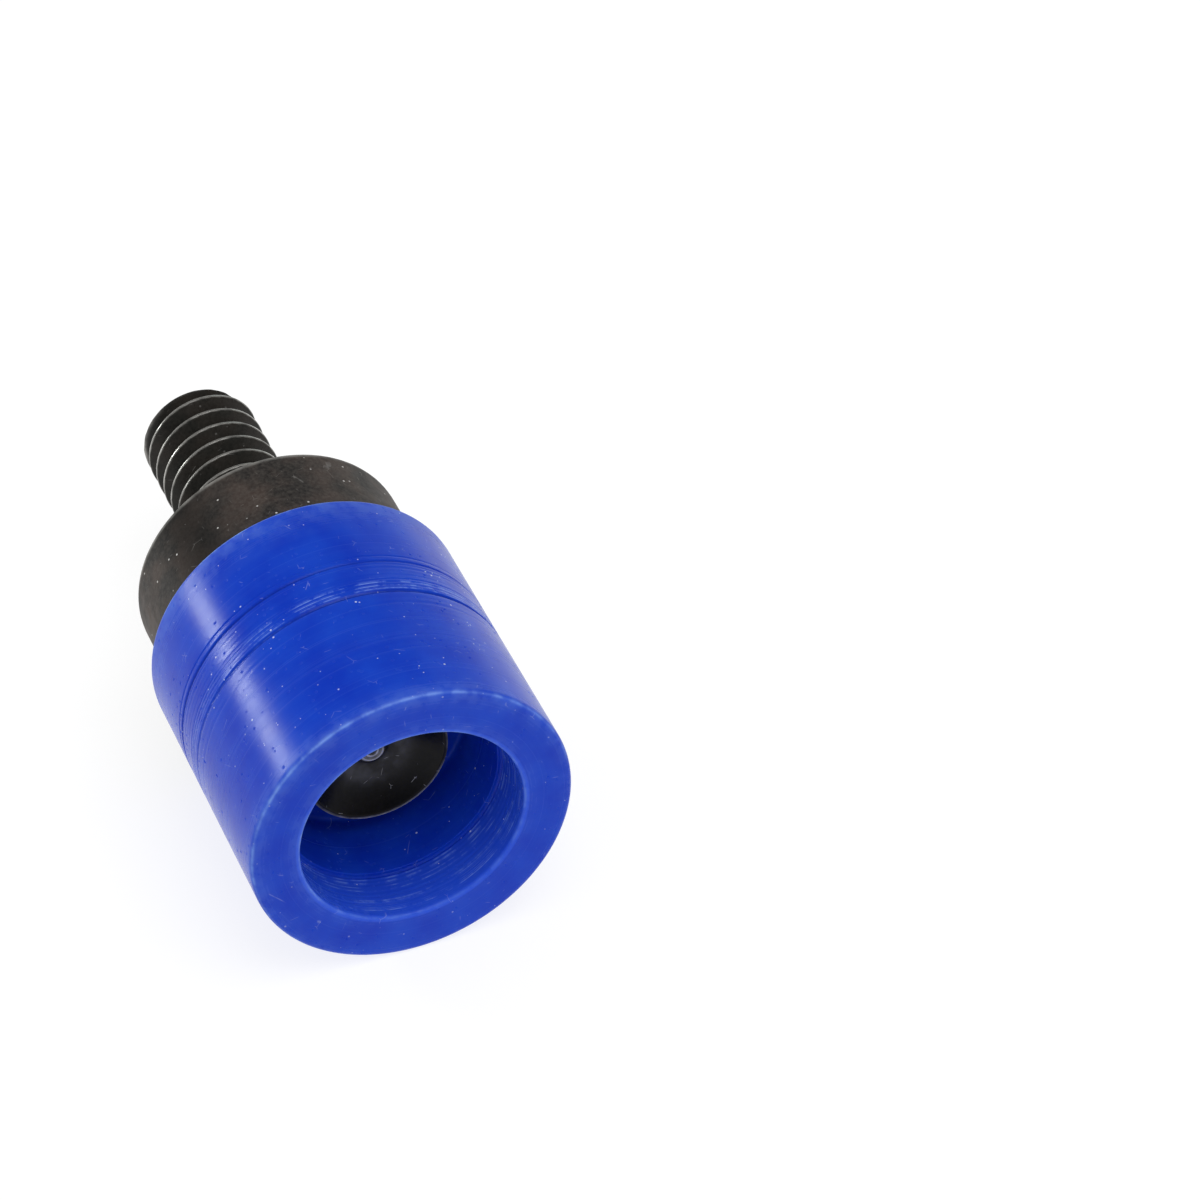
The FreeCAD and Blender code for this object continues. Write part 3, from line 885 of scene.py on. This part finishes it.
def paperMaterial():
    # white paper: partly its own pale colour, so that the soft shadow stays faint
    material = bpy.data.materials.new("white paper")
    material.use_nodes = True
    tree = material.node_tree
    tree.nodes.clear()
    side = addNode(tree, "ShaderNodeNewGeometry")
    matt = addNode(tree, "ShaderNodeBsdfDiffuse", links={"Color": (stage["paper"],) * 3 + (1.0,)})
    glow = addNode(tree, "ShaderNodeEmission", links={"Color": (1, 1, 1, 1), "Strength": stage["glow"]})
    front = addNode(tree, "ShaderNodeAddShader", links={0: matt.outputs[0], 1: glow.outputs[0]})
    clear = addNode(tree, "ShaderNodeBsdfTransparent")
    both = addNode(tree, "ShaderNodeMixShader", links={
        0: side.outputs["Backfacing"], 1: front.outputs[0], 2: clear.outputs[0]})
    addNode(tree, "ShaderNodeOutputMaterial", links={"Surface": both.outputs[0]})
    return material


paper = paperMaterial()
makeCamera()
makeStage("floor", Vector((0, 0, 1)), Vector((0, 0, -stage["floorDrop"])))
makeStage("backdrop", outward, -outward * (sleeveRadius * mm + stage["backdropGap"]))

# Lamps: oblong soft boxes. Direction is from the die's middle, distance and sizes in metres.
lamps = {
    "leftBox": {
        "direction": (-0.36, -0.61, 0.69), "distance": 0.24, "width": 0.038, "height": 0.08,
        "radiance": 18.0, "colour": (0.95, 1.0, 0.97),
    },
    "frontBox": {
        "direction": (0.72, -0.58, -0.38), "distance": 0.35, "width": 0.25, "height": 0.25,
        "radiance": 2.5, "colour": (1, 1, 1),
    },
    "rightBox": {
        "direction": (0.57, 0.30, 0.73), "distance": 0.30, "width": 0.24, "height": 0.10,
        "radiance": 0.5, "colour": (0.80, 1.0, 1.0),
    },
}


def makeLamps():
    middle = Vector((0, 0, 0.5 * bodyTip.z))
    for name, lamp in lamps.items():
        data = bpy.data.lights.new(name, "AREA")
        data.shape = "RECTANGLE"
        data.size, data.size_y = lamp["width"], lamp["height"]
        data.color = lamp["colour"]
        # power = radiance x pi x area
        data.energy = lamp["radiance"] * math.pi * lamp["width"] * lamp["height"]
        item = bpy.data.objects.new(name, data)
        way = Vector(lamp["direction"]).normalized()
        turn = way.to_track_quat("Z", "Y").to_matrix()
        item.matrix_world = Matrix.Translation(middle + way * lamp["distance"]) @ turn.to_4x4()
        bpy.context.scene.collection.objects.link(item)


# The world: white paper on the backdrop's side of the sky, which also shines in the steel and the
# nylon, and a dim room on the side of the camera
sky = {
    "paperForShine": 1.0, "paperForColour": 0.88, "roomForShine": 0.10, "roomForColour": 0.52,
    "softness": 0.25,
}


def makeWorld():
    world = bpy.data.worlds.new("studio")
    bpy.context.scene.world = world
    world.use_nodes = True
    tree = world.node_tree
    tree.nodes.clear()
    ray = addNode(tree, "ShaderNodeLightPath")
    way = addNode(tree, "ShaderNodeTexCoord")
    facing = addNode(tree, "ShaderNodeVectorMath", {"operation": "DOT_PRODUCT"}, {
        0: way.outputs["Generated"], 1: tuple(outward)})
    room = addNode(tree, "ShaderNodeMapRange", links={
        "Value": facing.outputs["Value"],
        "From Min": -sky["softness"],
        "From Max": sky["softness"]}).outputs[0]
    shine = addNode(tree, "ShaderNodeMath", {"operation": "MAXIMUM"}, {
        0: ray.outputs["Is Glossy Ray"], 1: ray.outputs["Is Transmission Ray"]}).outputs[0]
    roomLight = addNode(tree, "ShaderNodeMapRange", links={
        "Value": shine,
        "From Min": 0.0,
        "From Max": 1.0,
        "To Min": sky["roomForColour"],
        "To Max": sky["roomForShine"]}).outputs[0]
    paperLight = addNode(tree, "ShaderNodeMapRange", links={
        "Value": shine,
        "From Min": 0.0,
        "From Max": 1.0,
        "To Min": sky["paperForColour"],
        "To Max": sky["paperForShine"]}).outputs[0]
    strength = addNode(tree, "ShaderNodeMapRange", links={
        "Value": room,
        "From Min": 0.0,
        "From Max": 1.0,
        "To Min": paperLight,
        "To Max": roomLight}).outputs[0]
    strength = addNode(tree, "ShaderNodeMath", {"operation": "MAXIMUM"}, {
        0: strength, 1: ray.outputs["Is Camera Ray"]}).outputs[0]
    back = addNode(tree, "ShaderNodeBackground", links={"Color": (1, 1, 1, 1), "Strength": strength})
    addNode(tree, "ShaderNodeOutputWorld", links={"Surface": back.outputs[0]})


makeLamps()
makeWorld()
bpy.context.scene.view_settings.view_transform = "Standard"
print("camera, stage and lamps made")
